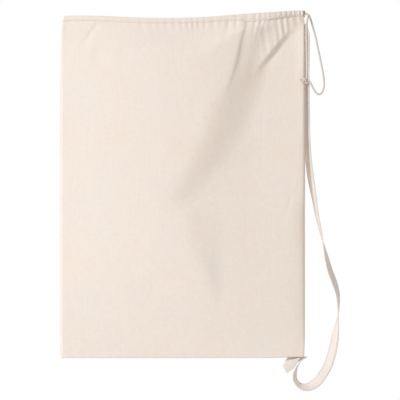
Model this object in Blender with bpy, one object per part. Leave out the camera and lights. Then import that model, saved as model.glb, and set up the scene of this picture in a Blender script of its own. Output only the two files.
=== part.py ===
"""Cotton laundry bag with a drawcord and a shoulder strap, hanging flat from its top edge.

Units are metres. +Z is up, -Y is the bag's front, and +X runs towards the corner where the drawcord
comes out. The origin is the middle of the mouth, on the line that the bag hangs from.
"""

import math

import bmesh
import bpy
from mathutils import Matrix, Vector

MM = 0.001

# Bag: the cloth's outline, the layers of a sewn edge, and how far the front panel bellies out.
BAG_WIDTH = 508 * MM
BAG_HEIGHT = 711 * MM
CLOTH = 1.0 * MM
SEAM_WIDTH = 15 * MM
BOTTOM_SEAM_HEIGHT = 12 * MM
SEAM_THICKNESS = 5 * MM
BELLY = 30 * MM
BELLY_ROUNDNESS = 0.9
BELLY_LIFT = 0.75
LIP_SHARPNESS = 3
LIP_REACH = 8
GAP = 0.3 * MM
PANEL_GAP = 0.6 * MM
EDGE_GAP = 0.5 * MM

# Casing: the folded hem that the drawcord runs in. It rises towards the corner with the exit.
CASING_HEIGHT = 12.5 * MM
CASING_THICKNESS = 7 * MM
CASING_LEFT = -242.5 * MM
CASING_RISE = 0.02262
CASING_MIDDLE_Z = -1.22 * MM
CORNER_START = 189.5 * MM
CORNER_END = 253.5 * MM
CORNER_THICKNESS = 13.6 * MM
CORNER_Y = -0.35 * MM
LEFT_END_Y = -0.9 * MM
LEFT_END_THICKNESS = 14.4 * MM
CASING_GAP = 0.5 * MM
HEM_SAG = 8.5 * MM
HEM_SAG_LEAN = 0.85
MOUTH_GAPE = 11 * MM
FRONT_CASING_Y = -4.6 * MM
BACK_CASING_Y = 2.8 * MM

# Drawcord. Its two stubs in the corner are the stretch that slides out when it is pulled.
CORD_DIAMETER = 4 * MM
CORD_START_X = CORNER_END + 2 * MM
CORD_STUB_MARGIN = 3 * MM
CORD_TURN_LEAD = 0.6 * MM
CORD_TURN_FLATNESS = 0.8
CORD_TURN_SECTIONS = 8
CORD_FRONT_Y = -3.2 * MM
CORD_EXIT = Vector((256, -0.2, 4.5)) * MM
KNOT_SIZE = Vector((19, 10, 13)) * MM
KNOT_AT = Vector((250.5, -14.0, -136.2)) * MM

# Shoulder strap: a flat folded tape. It swings about the upright line beside the bag's right edge.
STRAP_WIDTH = 20 * MM
STRAP_THICKNESS = 1.6 * MM
STRAP_AXIS = Vector((254, 5, -380)) * MM
TAIL_TILT = 2.5 * MM

# Sewing thread, and how far each row of stitches keeps from the edges it runs beside.
THREAD = 0.5 * MM
HEM_STITCH_MARGIN = 1.5 * MM
STRAP_STITCH_MARGIN = 2 * MM
TACK_MARGIN = 3 * MM
LOWER_TACK_RISE = 4 * MM
LOWER_TACK_MARGIN = 6 * MM
OVERLOCK_INSET = 3 * MM
OVERLOCK_Y = -0.2 * MM
OVERLOCK_BOTTOM = 6 * MM
OVERLOCK_TOP = 12 * MM
OVERLOCK_END = 8 * MM

# Numbers of sections that the longer pieces are drawn with.
STRAP_SECTIONS = 72
UPPER_END_SECTIONS = 9
CASING_SECTIONS = 19
PANEL_COLUMNS = 18
PANEL_ROWS = 20

HALF = BAG_WIDTH / 2
PANEL_HALF = HALF - SEAM_WIDTH - EDGE_GAP
BOTTOM = -BAG_HEIGHT
PANEL_BOTTOM = BOTTOM + BOTTOM_SEAM_HEIGHT + GAP
BOTTOM_SEAM_TOP = PANEL_BOTTOM - GAP

# The strap's centreline from its upper end to its lower one, in millimetres, each point followed by
# its turn in degrees: 0 lies flat to the front and 90 stands edge-on.
STRAP_ROUTE = (
    (256.0, 6.0, -46.0, 55), (256.0, 6.0, -75, 55), (256.0, 6.0, -115, 55), (256.5, 6.0, -176, 55),
    (257.6, 5.8, -240, 57), (260.0, 6.0, -285, 56), (264.6, 6.0, -329, 56), (269.0, 6.0, -354, 61),
    (273.5, 6.0, -379, 69), (277.5, 6.0, -404, 75), (282.4, 6.0, -429, 80), (287.4, 6.0, -453, 86),
    (293.2, 6.0, -478, 103), (299.0, 6.0, -503, 118), (306.0, 6.0, -528, 126), (314.5, 6.0, -553, 126),
    (321.6, 6.0, -578, 117), (323.0, 6.0, -603, 105), (322.0, 6.0, -628, 90), (318.6, 6.0, -653, 64),
    (314.4, 5.5, -677.5, 48), (308.6, 5.0, -702.4, 38), (300.2, 5.0, -727.3, 28), (285.0, 5.0, -752.2, 24),
    (273.5, 5.0, -764, 34), (260.0, 5.0, -770.5, 48), (246.5, 5.0, -769.5, 60), (237.0, 5.0, -762, 64),
    (232.5, 5.0, -752.5, 64), (233.0, 5.0, -741.5, 66), (235.8, 5.0, -732, 74),
    (240.4, 5.0, -722.5, 80), (246.5, 5.0, -714, 85),
)
# The strap's sewn upper end, the same way: flat behind the seam, then turning to meet the strap.
UPPER_END_ROUTE = (
    (249.0, 4.0, -16, 0), (249.2, 5.4, -23, 8), (251.5, 6.3, -30, 30), (254.8, 6.3, -36, 48),
    (256.0, 6.0, -41, 55), (256.0, 6.0, -45.2, 55),
)
# The outline of the strap's turned-out lower end, across and up in millimetres.
TAIL_OUTLINE = (
    (211, -711.4), (240, -711.4), (237, -719), (230.5, -728), (225.5, -733), (222, -741), (217.5, -742.5),
    (212, -739), (207, -731), (208.5, -720),
)

# The drawcord's two free legs, in millimetres: the long one loops down and back up to the knot.
LONG_LEG_ROUTE = (
    (256.0, 2.8, 4.5), (258.0, 2.8, 4.4), (261.0, 2.7, 2.2), (264.4, 2.2, -5.0), (267.2, 1.4, -13.8),
    (269.6, 0.6, -22.8), (273.9, -1.0, -39.4), (277.8, -2.8, -57.6), (281.8, -4.8, -78.3),
    (284.9, -6.4, -93.9), (288.3, -8.6, -112.0), (291.2, -11.0, -132.8), (291.5, -12.0, -145.8),
    (289.0, -12.8, -156.0), (283.0, -13.4, -163.6), (276.4, -13.7, -161.9), (270.8, -13.9, -154.8),
    (266.1, -14.0, -145.8), (261.8, -14.0, -138.0),
)
SHORT_LEG_ROUTE = (
    (256.0, -3.2, 4.5), (258.2, -3.3, 4.4), (259.2, -4.8, 0.0), (257.0, -7.4, -10), (255.4, -9.2, -22),
    (255.4, -10.8, -45), (255.8, -11.4, -80), (255.9, -12.6, -110), (255.5, -13.4, -128.9),
)


def clear_scene():
    for thing in list(bpy.data.objects):
        bpy.data.objects.remove(thing, do_unlink=True)


def material(name, colour, roughness=0.9):
    made = bpy.data.materials.new(name)
    made.use_nodes = True
    shader = made.node_tree.nodes["Principled BSDF"]
    shader.inputs["Base Color"].default_value = (*colour, 1)
    shader.inputs["Roughness"].default_value = roughness
    return made


def add_object(name, data, look):
    data.materials.append(look)
    made = bpy.data.objects.new(name, data)
    bpy.context.scene.collection.objects.link(made)
    return made


def mesh_from(bm, name):
    bmesh.ops.recalc_face_normals(bm, faces=bm.faces)
    data = bpy.data.meshes.new(name)
    bm.to_mesh(data)
    bm.free()
    return data


def casing_axis(x):
    """Height at x of the straight line between the casing's two corners."""
    return CASING_MIDDLE_Z + CASING_RISE * x


def casing_z(x):
    """Height of a casing's centreline, which droops between the corners, most a little left of the middle."""
    along = min(max((x - CASING_LEFT) / (CORNER_START - CASING_LEFT), 0), 1)
    return casing_axis(x) - HEM_SAG * math.sin(math.pi * along**HEM_SAG_LEAN)


def mouth_gape(x):
    """How far the front casing stands off the back one."""
    along = min(max((x - CASING_LEFT) / (CORNER_START - CASING_LEFT), 0), 1)
    return MOUTH_GAPE * math.sin(math.pi * along)


def smooth_points(route, count):
    """count points at even distances along a Catmull-Rom curve through the route's points."""
    ends = [route[0] * 2 - route[1], *route, route[-1] * 2 - route[-2]]
    fine = []
    steps = 24
    for a, b, c, d in zip(ends, ends[1:], ends[2:], ends[3:]):
        for i in range(steps):
            t = i / steps
            bend = (2 * a - 5 * b + 4 * c - d) * t**2
            twist = (3 * b - a - 3 * c + d) * t**3
            fine.append((2 * b + (c - a) * t + bend + twist) / 2)
    fine.append(route[-1])
    reached = [0.0]
    for p, q in zip(fine, fine[1:]):
        reached.append(reached[-1] + (q - p).length)
    found = []
    at = 0
    for i in range(count):
        wanted = reached[-1] * i / (count - 1)
        while at < len(fine) - 2 and reached[at + 1] < wanted:
            at += 1
        share = (wanted - reached[at]) / (reached[at + 1] - reached[at])
        found.append(fine[at].lerp(fine[at + 1], share))
    return found


def cord(name, points, look, diameter=CORD_DIAMETER):
    """A round cord through the points, with filled ends."""
    data = bpy.data.curves.new(name, "CURVE")
    data.dimensions = "3D"
    data.bevel_depth = diameter / 2
    data.bevel_resolution = 2
    data.use_fill_caps = True
    line = data.splines.new("POLY")
    line.points.add(len(points) - 1)
    for spot, point in zip(line.points, points):
        spot.co = (*point, 1)
    return add_object(name, data, look)


def free_cord(name, route, look):
    """A cord through a route in millimetres: a straight start, then a point about every 2.5 diameters."""
    start, *rest = [Vector(p) * MM for p in route]
    length = sum((b - a).length for a, b in zip(rest, rest[1:]))
    return cord(name, [start, *smooth_points(rest, round(length / (2.5 * CORD_DIAMETER)) + 1)], look)


def sheet(name, columns, rows, place, look):
    """A sheet of cloth: a grid whose points place() puts at (column share, row share)."""
    bm = bmesh.new()
    bmesh.ops.create_grid(bm, x_segments=columns, y_segments=rows, size=1)
    for v in bm.verts:
        v.co = place((v.co.x + 1) / 2, (v.co.y + 1) / 2)
    made = add_object(name, mesh_from(bm, name), look)
    skin = made.modifiers.new("Cloth thickness", "SOLIDIFY")
    skin.thickness = CLOTH
    skin.offset = 0
    return made


def slab(name, low, high, look, bevel=0.4 * MM):
    """A straight strip of sewn layers between two corners, with its long edges rounded."""
    bm = bmesh.new()
    bmesh.ops.create_cube(bm, size=1)
    for v in bm.verts:
        v.co = [(a + b) / 2 + c * (b - a) for a, b, c in zip(low, high, v.co)]
    made = add_object(name, mesh_from(bm, name), look)
    edge = made.modifiers.new("Rounded", "BEVEL")
    edge.width = bevel
    edge.segments = 1
    return made


def tube_shell(name, centres, height, thickness, look, capped=False):
    """A flattened tube of cloth through the centres along X, open at both ends unless its first is capped."""
    sides = 12
    bm = bmesh.new()
    loops = []
    for centre in centres:
        loop = []
        for i in range(sides):
            turn = 2 * math.pi * (i + 0.5) / sides
            across, up = (math.copysign(abs(f(turn)) ** 0.5, f(turn)) for f in (math.cos, math.sin))
            loop.append(bm.verts.new(centre + Vector((0, across * thickness / 2, up * height / 2))))
        loops.append(loop)
    for a, b in zip(loops, loops[1:]):
        for i in range(sides):
            j = (i + 1) % sides
            bm.faces.new((a[i], a[j], b[j], b[i]))
    if capped:
        bm.faces.new(loops[0])
    made = add_object(name, mesh_from(bm, name), look)
    skin = made.modifiers.new("Cloth thickness", "SOLIDIFY")
    skin.thickness = CLOTH
    skin.offset = -1
    return made


def ribbon_frames(route, count):
    """(centre, width direction, face direction) along a tape that lies as the route says."""
    knots = [Vector(spot[:3]) * MM for spot in route]
    marks = [0.0]
    for p, q in zip(knots, knots[1:]):
        marks.append(marks[-1] + (q - p).length)
    points = smooth_points(knots, count)
    frames = []
    for i, point in enumerate(points):
        along = (points[min(i + 1, count - 1)] - points[max(i - 1, 0)]).normalized()
        reached = marks[-1] * i / (count - 1)
        k = max(n for n in range(len(marks) - 1) if marks[n] <= reached)
        share = (reached - marks[k]) / (marks[k + 1] - marks[k])
        turn = math.radians(route[k][3] + (route[k + 1][3] - route[k][3]) * share)
        outer = Vector((-along.z, 0, along.x)).normalized()
        across = outer * math.cos(turn) + Vector((0, -1, 0)) * math.sin(turn)
        across = (across - along * across.dot(along)).normalized()
        frames.append((point, across, along.cross(across)))
    return frames


def ribbon(name, frames, width, thickness, look, sideways=0.0, proud=0.0):
    """A tape of that section along the frames, moved sideways and off the face by those amounts."""
    bm = bmesh.new()
    loops = []
    for point, across, face in frames:
        centre = point + across * sideways + face * proud
        corners = ((1, 1), (-1, 1), (-1, -1), (1, -1))
        loops.append(
            [bm.verts.new(centre + across * a * width / 2 + face * b * thickness / 2) for a, b in corners]
        )
    for a, b in zip(loops, loops[1:]):
        for i in range(4):
            j = (i + 1) % 4
            bm.faces.new((a[i], b[i], b[j], a[j]))
    bm.faces.new(loops[0])
    bm.faces.new(reversed(loops[-1]))
    return add_object(name, mesh_from(bm, name), look)


def front_surface(across, up):
    """A point of the front panel: flat at its sewn edges, bellied out between, following the casing above."""
    x = -PANEL_HALF + 2 * PANEL_HALF * across
    top = casing_z(x) - CASING_HEIGHT / 2 - PANEL_GAP
    z = PANEL_BOTTOM + (top - PANEL_BOTTOM) * up
    edge = -SEAM_THICKNESS / 2 + CLOTH / 2
    across_arch = 1 - (x / PANEL_HALF) ** 2
    upright_arch = max(math.sin(math.pi * up**BELLY_LIFT), 0.0)
    belly = BELLY * (across_arch * upright_arch) ** BELLY_ROUNDNESS
    lip = up**LIP_SHARPNESS * (1 - (x / PANEL_HALF) ** LIP_REACH)
    return Vector((x, edge - belly + lip * (FRONT_CASING_Y - mouth_gape(x) - edge), z))


def back_surface(across, up):
    """A point of the back panel, which hangs flat."""
    x = -PANEL_HALF + 2 * PANEL_HALF * across
    top = casing_z(x) - CASING_HEIGHT / 2 - PANEL_GAP
    z = PANEL_BOTTOM + (top - PANEL_BOTTOM) * up
    return Vector((x, SEAM_THICKNESS / 2 - CLOTH / 2, z))


def stations(low, high, count):
    return [low + (high - low) * i / (count - 1) for i in range(count)]


def build_panels(cloth):
    sheet("front_panel", PANEL_COLUMNS, PANEL_ROWS, front_surface, cloth)
    sheet("back_panel", PANEL_COLUMNS, 1, back_surface, cloth)


def build_casings(cloth):
    xs = stations(CASING_LEFT, CORNER_START - CASING_GAP, CASING_SECTIONS)
    front = [Vector((x, FRONT_CASING_Y - mouth_gape(x), casing_z(x))) for x in xs]
    tube_shell("front_casing", front, CASING_HEIGHT, CASING_THICKNESS, cloth)
    back = [Vector((x, BACK_CASING_Y, casing_z(x))) for x in xs]
    tube_shell("back_casing", back, CASING_HEIGHT, CASING_THICKNESS, cloth)
    corner = [Vector((x, CORNER_Y, casing_axis(x))) for x in (CORNER_START, CORNER_END)]
    tube_shell("corner_casing", corner, CASING_HEIGHT, CORNER_THICKNESS, cloth)
    left = [Vector((x, LEFT_END_Y, casing_axis(x))) for x in (-HALF, CASING_LEFT - CASING_GAP)]
    tube_shell("left_casing_end", left, CASING_HEIGHT, LEFT_END_THICKNESS, cloth, capped=True)
    return front, back


def build_seams(cloth, thread):
    deep = SEAM_THICKNESS / 2
    inner = HALF - SEAM_WIDTH
    tops = {
        "left": casing_axis(-HALF) - CASING_HEIGHT / 2 - GAP,
        "right": casing_axis(inner) - CASING_HEIGHT / 2 - GAP,
    }
    slab("bottom_seam", (-HALF, -deep, BOTTOM), (HALF, deep, BOTTOM_SEAM_TOP), cloth)
    for side, sign in (("left", -1), ("right", 1)):
        edges = sorted((sign * inner, sign * HALF))
        slab(f"{side}_side_seam", (edges[0], -deep, PANEL_BOTTOM), (edges[1], deep, tops[side]), cloth)
        x = sign * (PANEL_HALF - OVERLOCK_INSET)
        heights = (PANEL_BOTTOM + OVERLOCK_BOTTOM, tops[side] - OVERLOCK_TOP)
        cord(f"{side}_overlock_thread", [Vector((x, OVERLOCK_Y, z)) for z in heights], thread, 2 * THREAD)
    end = PANEL_HALF - OVERLOCK_END
    ends = [Vector((x, OVERLOCK_Y, PANEL_BOTTOM + OVERLOCK_INSET)) for x in (-end, end)]
    cord("bottom_overlock_thread", ends, thread, 2 * THREAD)


def build_hem_threads(front_centres, back_centres, thread):
    """The row of stitches that closes each casing along its lower edge."""
    down = Vector((0, 0, -CASING_HEIGHT / 2 + HEM_STITCH_MARGIN))
    out = Vector((0, CASING_THICKNESS / 2 + GAP + THREAD, 0))
    cord("front_hem_thread", [c + down - out for c in front_centres], thread, THREAD)
    cord("back_hem_thread", [c + down + out for c in back_centres], thread, THREAD)


def pivot(name, place):
    """An empty that moving pieces hang on, so that they turn or slide at their joint."""
    made = bpy.data.objects.new(name, None)
    made.location = place
    bpy.context.scene.collection.objects.link(made)
    return made


def hang_on(holder, *pieces):
    for piece in pieces:
        piece.parent = holder
        piece.matrix_parent_inverse = Matrix.Translation(-holder.location)


def build_drawcord(front_centres, back_centres, cotton):
    """The cord from its free knot in to the corner, round the mouth in both casings, and back out."""
    cord("drawcord_front_run", front_centres, cotton)
    cord("drawcord_back_run", back_centres, cotton)
    stubs = []
    for name, y in (("drawcord_front_stub", CORD_FRONT_Y), ("drawcord_back_stub", BACK_CASING_Y)):
        ends = [Vector((x, y, casing_axis(CORNER_END))) for x in (CORNER_START + CORD_STUB_MARGIN, CORD_START_X)]
        stubs.append(cord(name, ends, cotton))
    middle_y = (FRONT_CASING_Y + BACK_CASING_Y) / 2
    radius = (BACK_CASING_Y - FRONT_CASING_Y) / 2
    lead = CASING_LEFT - GAP
    turn = [Vector((lead, FRONT_CASING_Y, casing_axis(lead)))]
    for i in range(CORD_TURN_SECTIONS + 1):
        angle = math.pi * i / CORD_TURN_SECTIONS
        x = lead - CORD_TURN_LEAD - CORD_TURN_FLATNESS * radius * math.sin(angle)
        turn.append(Vector((x, middle_y - radius * math.cos(angle), casing_axis(lead))))
    turn.append(Vector((lead, BACK_CASING_Y, casing_axis(lead))))
    cord("drawcord_left_turn", turn, cotton)
    long_leg = free_cord("drawcord_long_leg", LONG_LEG_ROUTE, cotton)
    short_leg = free_cord("drawcord_short_leg", SHORT_LEG_ROUTE, cotton)
    bm = bmesh.new()
    bmesh.ops.create_icosphere(bm, subdivisions=2, radius=0.5, matrix=Matrix.Diagonal((*KNOT_SIZE, 1)))
    bmesh.ops.translate(bm, verts=bm.verts, vec=KNOT_AT)
    knot = add_object("drawcord_knot", mesh_from(bm, "drawcord_knot"), cotton)
    knot.data.shade_smooth()
    feed = pivot("cord_feed", CORD_EXIT)
    hang_on(feed, *stubs)
    swing = pivot("cord_swing", CORD_EXIT)
    hang_on(swing, long_leg, short_leg, knot)
    hang_on(feed, swing)


def build_strap(cloth, thread):
    frames = ribbon_frames(STRAP_ROUTE, STRAP_SECTIONS)
    moving = [ribbon("strap", frames, STRAP_WIDTH, STRAP_THICKNESS, cloth)]
    proud = STRAP_THICKNESS / 2 + 2 * GAP + THREAD / 2
    for name, side in (("strap_outer_thread", 1), ("strap_inner_thread", -1)):
        sideways = side * (STRAP_WIDTH / 2 - STRAP_STITCH_MARGIN)
        moving.append(ribbon(name, frames[1:-1], THREAD, THREAD, thread, sideways, proud))
    hang_on(pivot("strap_swing", STRAP_AXIS), *moving)
    sewn = ribbon_frames(UPPER_END_ROUTE, UPPER_END_SECTIONS)
    ribbon("strap_upper_end", sewn, STRAP_WIDTH, STRAP_THICKNESS, cloth)
    middle, across, _ = sewn[1]
    behind = middle + Vector((0, STRAP_THICKNESS / 2 + GAP + THREAD, 0))
    ends = [behind + across * side * (STRAP_WIDTH / 2 - TACK_MARGIN) for side in (-1, 1)]
    cord("strap_upper_tack", ends, thread, THREAD)
    build_tail(cloth)
    front = -SEAM_THICKNESS / 2 - GAP - THREAD
    tack = (TAIL_OUTLINE[0][0] * MM, HALF - LOWER_TACK_MARGIN)
    cord("strap_lower_tack", [Vector((x, front, BOTTOM + LOWER_TACK_RISE)) for x in tack], thread, THREAD)


def build_tail(cloth):
    """The strap's loose lower end, a flat flap that leans back a little under the bottom seam."""
    bm = bmesh.new()
    low = min(z for _, z in TAIL_OUTLINE)
    outline = []
    for x, z in TAIL_OUTLINE:
        lean = TAIL_TILT * (TAIL_OUTLINE[0][1] - z) / (TAIL_OUTLINE[0][1] - low)
        outline.append(bm.verts.new((x * MM, lean - STRAP_THICKNESS / 2, z * MM)))
    bm.faces.new(outline)
    moved = bmesh.ops.extrude_face_region(bm, geom=bm.faces[:])["geom"]
    raised = [v for v in moved if isinstance(v, bmesh.types.BMVert)]
    bmesh.ops.translate(bm, verts=raised, vec=(0, STRAP_THICKNESS, 0))
    add_object("strap_tail", mesh_from(bm, "strap_tail"), cloth)


def main():
    clear_scene()
    cloth = material("Natural cotton canvas", (0.87, 0.78, 0.7))
    cotton = material("Cotton cord", (0.8, 0.75, 0.7))
    thread = material("Sewing thread", (0.85, 0.79, 0.72), 0.7)
    build_panels(cloth)
    front_centres, back_centres = build_casings(cloth)
    build_seams(cloth, thread)
    build_hem_threads(front_centres, back_centres, thread)
    build_drawcord(front_centres, back_centres, cotton)
    build_strap(cloth, thread)


main()
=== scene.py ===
import math

import bpy
import numpy as np
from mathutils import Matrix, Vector


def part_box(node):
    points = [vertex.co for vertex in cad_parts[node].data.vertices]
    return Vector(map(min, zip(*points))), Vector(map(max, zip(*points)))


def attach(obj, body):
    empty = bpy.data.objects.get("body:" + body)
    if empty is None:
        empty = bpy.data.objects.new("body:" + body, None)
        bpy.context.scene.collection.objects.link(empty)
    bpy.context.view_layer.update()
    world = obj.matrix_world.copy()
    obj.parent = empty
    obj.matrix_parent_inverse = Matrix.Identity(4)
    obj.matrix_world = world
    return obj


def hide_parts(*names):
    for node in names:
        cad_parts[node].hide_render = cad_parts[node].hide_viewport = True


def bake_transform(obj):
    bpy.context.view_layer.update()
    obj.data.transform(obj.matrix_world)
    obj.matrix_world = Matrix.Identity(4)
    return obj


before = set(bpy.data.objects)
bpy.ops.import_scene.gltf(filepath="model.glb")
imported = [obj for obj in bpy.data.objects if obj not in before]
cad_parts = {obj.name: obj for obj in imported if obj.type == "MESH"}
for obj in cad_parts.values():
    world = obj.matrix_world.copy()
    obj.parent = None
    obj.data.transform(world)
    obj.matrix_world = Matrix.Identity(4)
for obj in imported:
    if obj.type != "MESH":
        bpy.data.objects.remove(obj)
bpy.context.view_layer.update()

MM = 0.001
SEED = 7

# The bag's outline and its casings, from the CAD solids.
SEAM_LOW, SEAM_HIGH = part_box("bottom_seam")
HALF = SEAM_HIGH.x
BOTTOM = SEAM_LOW.z
HEIGHT = -BOTTOM
FRONT_CASING_LOW, FRONT_CASING_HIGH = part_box("front_casing")
BACK_CASING_LOW, BACK_CASING_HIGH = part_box("back_casing")
CASING_LEFT, CORNER_START = FRONT_CASING_LOW.x, FRONT_CASING_HIGH.x
CASING_THICKNESS = BACK_CASING_HIGH.y - BACK_CASING_LOW.y
BACK_CASING_Y = (BACK_CASING_HIGH.y + BACK_CASING_LOW.y) / 2
FRONT_CASING_Y = FRONT_CASING_HIGH.y - CASING_THICKNESS / 2
MOUTH_GAPE = FRONT_CASING_HIGH.y - FRONT_CASING_LOW.y - CASING_THICKNESS
BACK_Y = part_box("back_panel")[1].y
CLOTH = 0.55 * MM
FRONT_COLUMNS, FRONT_ROWS = 255, 331
BACK_COLUMNS, BACK_ROWS = 200, 240

# Heights of the mouth's top edge above the origin, from corner to corner.
TOP_EDGE = (
    (-254, -2), (-246, 0), (-200, 0.0), (-150, -2.2), (-100, -5.0), (-55, -6.4), (0, -6.2), (50, -4.0),
    (100, 0.0), (150, 3.7), (190, 6.6), (225, 9.4), (240, 10.6), (254, 9.4),
)

# The drawcord's free legs and the strap, in metres as in the CAD model.
CORD_DIAMETER = 0.004
LONG_LEG_ROUTE = (
    (0.2560, 0.0028, 0.0045), (0.2580, 0.0028, 0.0044), (0.2610, 0.0027, 0.0022), (0.2644, 0.0022, -0.0050),
    (0.2672, 0.0014, -0.0138), (0.2696, 0.0006, -0.0228), (0.2739, -0.0010, -0.0394),
    (0.2778, -0.0028, -0.0576), (0.2818, -0.0048, -0.0783), (0.2849, -0.0064, -0.0939),
    (0.2883, -0.0086, -0.1120), (0.2912, -0.0110, -0.1328), (0.2915, -0.0120, -0.1458),
    (0.2890, -0.0128, -0.1560), (0.2830, -0.0134, -0.1636), (0.2764, -0.0137, -0.1619),
    (0.2708, -0.0139, -0.1548), (0.2661, -0.0140, -0.1458), (0.2618, -0.0140, -0.1380),
)
SHORT_LEG_ROUTE = (
    (0.2560, -0.0032, 0.0045), (0.2582, -0.0033, 0.0044), (0.2592, -0.0048, 0.0000),
    (0.2570, -0.0074, -0.0100), (0.2554, -0.0092, -0.0220), (0.2554, -0.0108, -0.0450),
    (0.2558, -0.0114, -0.0800), (0.2559, -0.0126, -0.1100), (0.2555, -0.0134, -0.1289),
)
# Where each leg goes on into the knot.
LONG_LEG_KNOTTED = ((0.2580, -0.0143, -0.1352), (0.2545, -0.0143, -0.1350))
SHORT_LEG_KNOTTED = ((0.2542, -0.0140, -0.1325),)
# The knot's turns and cut tips, each as points in mm from the knot's middle.
KNOT_COILS = {
    "knot_wrap": (
        (-3.4, -1.0, 4.4), (-0.6, -3.6, 3.2), (1.9, -3.4, 0.6), (2.6, -0.6, -2.6), (0.4, 2.4, -3.2),
        (-2.4, 2.2, -0.4), (-3.0, 0.4, 2.6), (-0.6, 1.8, 4.4), (2.4, 0.4, 3.8), (3.6, -2.0, 1.4),
    ),
    "knot_cross": (
        (4.6, 0.6, 0.6), (2.2, -1.8, 2.2), (-1.2, -2.9, 1.4), (-4.0, -1.6, -0.6), (-3.6, 1.4, -2.6),
        (-0.4, 1.6, -2.0), (2.6, 0.0, -1.2),
    ),
    "knot_loop": (
        (-2.6, -1.2, -1.0), (-5.4, -2.0, -0.6), (-8.0, -1.6, 1.0), (-8.4, -0.8, 2.6), (-6.4, -0.4, 3.4),
        (-3.8, -0.6, 2.6), (-1.6, -0.8, 1.6),
    ),
    "knot_tip_left": ((-1.4, -1.6, -1.8), (-2.8, -2.6, -3.6), (-4.0, -3.0, -5.4), (-4.4, -3.0, -6.2)),
    "knot_tip_right": ((2.0, -1.6, -1.6), (3.8, -2.6, -3.0), (5.4, -3.0, -4.8), (5.8, -3.0, -5.6)),
}
STRAP_WIDTH = 0.020
STRAP_THICKNESS = 0.0016
STRAP_ROUTE = (
    (0.2560, 0.0060, -0.0460, 55), (0.2560, 0.0060, -0.0750, 55), (0.2560, 0.0060, -0.1150, 55),
    (0.2565, 0.0060, -0.1760, 55), (0.2576, 0.0058, -0.2400, 57), (0.2600, 0.0060, -0.2850, 56),
    (0.2646, 0.0060, -0.3290, 56), (0.2690, 0.0060, -0.3540, 61), (0.2735, 0.0060, -0.3790, 69),
    (0.2775, 0.0060, -0.4040, 75), (0.2824, 0.0060, -0.4290, 80), (0.2874, 0.0060, -0.4530, 86),
    (0.2932, 0.0060, -0.4780, 103), (0.2990, 0.0060, -0.5030, 118), (0.3060, 0.0060, -0.5280, 126),
    (0.3145, 0.0060, -0.5530, 126), (0.3216, 0.0060, -0.5780, 117), (0.3230, 0.0060, -0.6030, 105),
    (0.3220, 0.0060, -0.6280, 90), (0.3186, 0.0060, -0.6530, 64), (0.3144, 0.0055, -0.6775, 48),
    (0.3086, 0.0050, -0.7024, 38), (0.3002, 0.0050, -0.7273, 28), (0.2850, 0.0050, -0.7522, 24),
    (0.2735, 0.0050, -0.7640, 34), (0.2600, 0.0050, -0.7705, 48), (0.2465, 0.0050, -0.7695, 60),
    (0.2370, 0.0050, -0.7620, 64), (0.2325, 0.0050, -0.7525, 64), (0.2330, 0.0050, -0.7415, 66),
    (0.2358, 0.0050, -0.7320, 74), (0.2404, 0.0050, -0.7225, 80), (0.2465, 0.0050, -0.7140, 85),
)
UPPER_END_ROUTE = (
    (0.2490, 0.0040, -0.0160, 0), (0.2492, 0.0054, -0.0230, 8), (0.2515, 0.0063, -0.0300, 30),
    (0.2548, 0.0063, -0.0360, 48), (0.2560, 0.0060, -0.0410, 55), (0.2560, 0.0060, -0.0452, 55),
)
# Where the strap turns flat and goes up behind the bottom seam.
SEWN_END = ((0.2492, 0.0056, -0.7102, 112), (0.2500, 0.0062, -0.7066, 150))

# The strap's sewn end: the edges of its front leaf, from the seam to its cut end, as (x, z) in mm.
TAIL_UPPER_EDGE = (
    (241.0, -709.0), (233.0, -711.2), (225.0, -713.0), (215.0, -715.6), (209.3, -721.0), (206.6, -726.0),
)
TAIL_LOWER_EDGE = (
    (244.6, -709.5), (240.4, -714.0), (235.6, -721.8), (230.8, -730.0), (224.0, -735.0), (215.0, -741.0),
)
# The same for the layer behind that leaf.
FOLD_UPPER_EDGE = (
    (250.0, -706.5), (240.0, -706.5), (230.0, -706.5), (219.0, -707.0), (215.4, -711.5), (211.5, -718.0),
)
FOLD_LOWER_EDGE = (
    (250.0, -712.0), (243.0, -716.0), (236.0, -720.0), (228.0, -724.0), (220.0, -727.0), (214.0, -729.0),
)


# ---------------------------------------------------------------- camera, light and floor


def set_camera():
    """A long lens straight in front of the bag, far enough away that its sides stay parallel."""
    data = bpy.data.cameras.new("camera")
    distance = 2.6
    width_seen = 0.830
    data.sensor_width = 36
    data.lens = data.sensor_width * distance / width_seen
    camera = bpy.data.objects.new("camera", data)
    camera.location = (0.0353, -distance, -0.3818)
    camera.rotation_euler = (math.radians(90), 0, 0)
    bpy.context.scene.collection.objects.link(camera)
    bpy.context.scene.camera = camera


def area_light(name, place, target, size, power, colour=(1, 1, 1)):
    data = bpy.data.lights.new(name, "AREA")
    data.shape = "DISK"
    data.size = size
    data.energy = power
    data.color = colour
    light = bpy.data.objects.new(name, data)
    light.location = place
    light.rotation_euler = (Vector(target) - Vector(place)).to_track_quat("-Z", "Y").to_euler()
    bpy.context.scene.collection.objects.link(light)


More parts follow.
